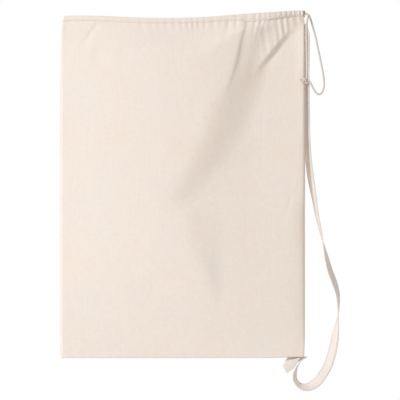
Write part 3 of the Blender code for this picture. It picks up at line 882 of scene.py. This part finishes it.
def stitches(name, line, out, look, length=2.3 * MM, pitch=3.0 * MM, radius=0.32 * MM):
    """A row of separate lockstitches, each a short thread that dips into the cloth at both ends."""
    line = np.asarray(line, float)
    reached = np.concatenate([[0], np.cumsum(np.linalg.norm(np.diff(line, axis=0), axis=1))])
    out = np.broadcast_to(np.asarray(out, float), line.shape)
    steps, sides = 6, 6
    turns = 2 * math.pi * np.arange(sides) / sides
    points, faces = [], []
    for start in np.arange(0.5 * pitch, reached[-1] - length, pitch):
        at = start + length * np.linspace(0, 1, steps)
        centre = np.stack([np.interp(at, reached, line[:, i]) for i in range(3)], -1)
        normal = np.stack([np.interp(at, reached, out[:, i]) for i in range(3)], -1)
        normal /= np.linalg.norm(normal, axis=1)[:, None]
        arch = np.sin(np.linspace(0, math.pi, steps))
        centre = centre + normal * ((arch - 0.55) * radius * 1.5)[:, None]
        along = np.gradient(centre, axis=0)
        along /= np.linalg.norm(along, axis=1)[:, None]
        side = np.cross(along, normal)
        fat = radius * (0.55 + 0.45 * arch)
        first = len(points)
        for c, s, n, f in zip(centre, side, np.cross(side, along), fat):
            points.extend(c + f * (math.cos(t) * s + math.sin(t) * n) for t in turns)
        for i in range(steps - 1):
            for j in range(sides):
                k = (j + 1) % sides
                a = first + i * sides
                faces.append((a + j, a + k, a + sides + k, a + sides + j))
        faces.append(tuple(first + j for j in range(sides))[::-1])
        faces.append(tuple(first + (steps - 1) * sides + j for j in range(sides)))
    piece = mesh_object(name, points, faces)
    piece.data.materials.append(look)
    return piece


def make_hem_stitches(thread):
    xs = np.linspace(-HALF + 4 * MM, HALF - 6 * MM, 400)
    z = stitch_z(xs) + 1.4 * MM
    front = -front_depth(xs, stitch_z(xs)) - 0.55 * MM
    rear = back_depth(xs, stitch_z(xs)) + 0.9 * MM
    made = []
    for side, y, facing in (("front", front, -1), ("back", rear, 1)):
        row = stitches(f"hem_stitches_{side}", np.stack([xs, y, z], -1), (0, facing, 0), thread)
        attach(row, "bag")
        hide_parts(f"{side}_hem_thread")
        made.append(row)
    return made


# ---------------------------------------------------------------- drawcord and strap


def free_leg(name, route, cotton):
    """One of the drawcord's legs outside the bag."""
    start, *rest = route
    line, _ = smooth_route(rest, 0.7 * MM)
    line = np.vstack([start, line])
    line, _ = smooth_route(line[::6], 0.6 * MM)
    leg = tube(name, line, CORD_DIAMETER / 2, sides=16, braid=0.07)
    leg.data.materials.append(cotton)
    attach(leg, "cord_end")
    return leg, line


def make_knot(cotton):
    """The two cord ends tied together in one overhand knot, with their short cut tips hanging from it."""
    low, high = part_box("drawcord_knot")
    middle = np.array((low + high) / 2)
    radius = CORD_DIAMETER / 2
    made = []
    for name, route in KNOT_COILS.items():
        line, _ = smooth_route([middle + np.array(p) * MM for p in route], 0.5 * MM)
        thin = 0.8 if "tip" in name else 0.86
        made.append(tube(name, line, radius * thin, sides=14, braid=0.05))
    for piece in made:
        piece.data.materials.append(cotton)
        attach(piece, "cord_end")
    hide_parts("drawcord_knot")
    return made


def make_drawcord(cotton):
    long_leg, long_line = free_leg("cord_long_leg", LONG_LEG_ROUTE + LONG_LEG_KNOTTED, cotton)
    short_leg, short_line = free_leg("cord_short_leg", SHORT_LEG_ROUTE + SHORT_LEG_KNOTTED, cotton)
    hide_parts("drawcord_long_leg")
    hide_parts("drawcord_short_leg")
    knot = make_knot(cotton)
    for name in ("drawcord_front_stub", "drawcord_back_stub"):
        low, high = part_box(name)
        centre = (low + high) / 2
        xs = np.arange(low.x, high.x + 0.3 * MM, 0.6 * MM)
        line = np.stack([xs, np.full_like(xs, centre.y), np.full_like(xs, centre.z)], -1)
        piece = tube(name.replace("drawcord", "cord"), line, CORD_DIAMETER / 2, sides=16, braid=0.07)
        piece.data.materials.append(cotton)
        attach(piece, "cord_feed")
        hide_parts(name)


def strap_blend(piece, half):
    """Bakes the piece's placement into its mesh; both halves are treated alike."""
    if half == "upper":
        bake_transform(piece)
    else:
        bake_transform(piece)


def make_cased_cord(cotton):
    """The drawcord's run inside the casings: along the front one, round the bag's left end, and back."""
    xs = np.arange(CORNER_START - 1 * MM, CASING_LEFT, -1.5 * MM)
    heights = top_edge(xs) - hem_height(xs) / 2
    front = np.stack([xs, hem_y(xs), heights], -1)
    back = np.stack([xs, np.full_like(xs, BACK_CASING_Y), heights - 0.5 * MM], -1)
    angles = np.linspace(0, math.pi, 9)[1:-1]
    middle = (front[-1] + back[-1]) / 2
    reach = (BACK_CASING_Y - front[-1][1]) / 2
    turn = middle + reach * np.stack([-0.8 * np.sin(angles), -np.cos(angles), 0 * angles], -1)
    line, _ = smooth_route(np.vstack([front, turn, back[::-1]]), 1.2 * MM)
    piece = tube("cord_in_casing", line, CORD_DIAMETER / 2, sides=12, braid=0.07)
    piece.data.materials.append(cotton)
    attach(piece, "bag")
    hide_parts("drawcord_front_run", "drawcord_back_run", "drawcord_left_turn")


def make_strap(fabric, thread):
    """The strap in two halves that meet at its middle, each with two rows of stitches."""
    frames = ribbon_frames(STRAP_ROUTE + SEWN_END, 1.6 * MM)
    middle = len(frames[0]) // 2
    sewn = tape("strap_top", ribbon_frames(UPPER_END_ROUTE, 1.2 * MM), STRAP_WIDTH, STRAP_THICKNESS)
    leaves = make_tail()
    for piece in (sewn, *leaves):
        piece.data.materials.append(fabric)
        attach(piece, "bag")
    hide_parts("strap_upper_end")
    for leaf in leaves:
        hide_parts("strap_tail")
    halves = (("upper", slice(0, middle + 1), [sewn]), ("lower", slice(middle, None), leaves))
    for half, stretch, ends in halves:
        part = [row[stretch] for row in frames]
        strap = tape(f"strap_{half}", part, STRAP_WIDTH, STRAP_THICKNESS, ripple=0.25 * MM)
        strap.data.materials.append(fabric)
        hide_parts("strap")
        strap_blend(strap, half)
        centres, across, face, reached = part
        inset = STRAP_WIDTH / 2 - 2 * MM
        lift = STRAP_THICKNESS / 2 + 0.15 * MM
        for name, side in (("strap_outer", 1), ("strap_inner", -1)):
            line = centres + across * side * inset + face * lift
            row = stitches(f"{name}_stitches_{half}", line, face, thread, pitch=2.8 * MM)
            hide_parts(f"{name}_thread")
            strap_blend(row, half)


def leaf_between(name, upper, lower, depth, thickness):
    """A piece of tape lofted between two edges, at the depth given for each share along and across it."""
    columns, rows = 34, 18
    edges = []
    for edge in (upper, lower):
        line, reached = smooth_route([(x * MM, 0.0, z * MM) for x, z in edge], 0.3 * MM)
        shares = np.linspace(0, reached[-1], columns)
        edges.append(np.stack([np.interp(shares, reached, line[:, i]) for i in range(3)], -1))
    across = np.linspace(0, 1, rows)[:, None, None]
    points = edges[0][None] * (1 - across) + edges[1][None] * across
    along = np.linspace(0, 1, columns)[None, :]
    points[..., 1] = depth(along, across[..., 0])
    uvs = np.stack(np.broadcast_arrays((across[..., 0] - 0.5) * STRAP_WIDTH, along * 0.034), -1)
    leaf = mesh_object(name, *grid_faces(points), uvs.reshape(-1, 2))
    thicken(leaf, thickness)
    return leaf


def make_tail():
    """The strap's cut end: a rear layer that comes down behind the seam, and a front leaf folded over it."""

    def front(along, across):
        curl = 3.2 * along**3 * np.sin(across * math.pi * 0.9 + 0.3)
        arch = 1.8 * np.sin(math.pi * np.clip(across * 0.9 + 0.08, 0, 1)) * (0.4 + 0.6 * along)
        ripple = 0.5 * np.sin(along * 9 + across * 3)
        return (0.6 - arch + curl * 0.4 + ripple) * MM

    def rear(along, across):
        return (4.6 + 1.6 * across - 2.2 * along * across + 0.3 * np.sin(along * 7)) * MM

    return (
        leaf_between("strap_end_leaf", TAIL_UPPER_EDGE, TAIL_LOWER_EDGE, front, STRAP_THICKNESS * 0.8),
        leaf_between("strap_end_fold", FOLD_UPPER_EDGE, FOLD_LOWER_EDGE, rear, STRAP_THICKNESS * 0.8),
    )


def make_corner_lip(cloth):
    """The casing's open end at the drawn corner, where both legs of the cord come out of it."""
    rings, sides = [], 30
    turns = 2 * math.pi * np.arange(sides) / sides
    axis = np.array((0.72, -0.69, 0.08))
    axis /= np.linalg.norm(axis)
    up = np.array((0.0, 0.0, 1.0))
    side = np.cross(axis, up)
    centre = np.array((0.2503, -0.0036, 0.0060))
    profile = (
        (-11, 0.2, 0.2), (-10.5, 2.6, 2.8), (-6, 3.6, 3.6), (-2, 3.9, 3.9), (0, 4.0, 4.0), (1.2, 4.1, 4.1),
    )
    for reach, wide, tall in profile:
        crimp = 1 + 0.07 * np.sin(turns * 5 + 0.6) * (0.4 + 0.6 * (reach > 0))
        ring = centre + axis * reach * MM
        ring = ring + side * (np.cos(turns) * wide * crimp * MM)[:, None]
        rings.append(ring + up * (np.sin(turns) * tall * crimp * MM)[:, None])
    piece = mesh_object("corner_lip", *grid_faces(np.array(rings), closed=True))
    thicken(piece, 0.7 * MM)
    piece.data.materials.append(cloth)
    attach(piece, "bag")
    return piece


def main():
    set_camera()
    cotton = braid_material("braided_cotton", (0.77, 0.70, 0.64), (0.60, 0.53, 0.47))
    make_drawcord(cotton)
    make_cased_cord(cotton)
    cloth = woven_material("natural_canvas", (0.885, 0.785, 0.71), (0.855, 0.753, 0.678), "Object", 0.0007)
    tape_cloth = woven_material("cotton_tape", (0.885, 0.80, 0.74), (0.85, 0.762, 0.70), "UV", 0.0006)
    thread = thread_material("sewing_thread", (0.86, 0.79, 0.72), (0.74, 0.66, 0.58))
    front = make_front(cloth)
    back = make_back(cloth)
    hem_front = make_hem("hem_front", cloth, hem_y, -1, ["front_casing", "corner_casing"])
    hem_back = make_hem("hem_back", cloth, lambda x: BACK_CASING_Y, 1, ["back_casing", "left_casing_end"])
    lip = make_corner_lip(cloth)
    stitches_front, stitches_back = make_hem_stitches(thread)
    make_strap(tape_cloth, thread)
    for name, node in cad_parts.items():
        if name.startswith("drawcord"):
            node.data.materials.clear()
            node.data.materials.append(cotton)
        elif name.endswith("thread") or name.endswith("tack"):
            node.data.materials.clear()
            node.data.materials.append(thread)
    set_floor()
    set_lights()


main()
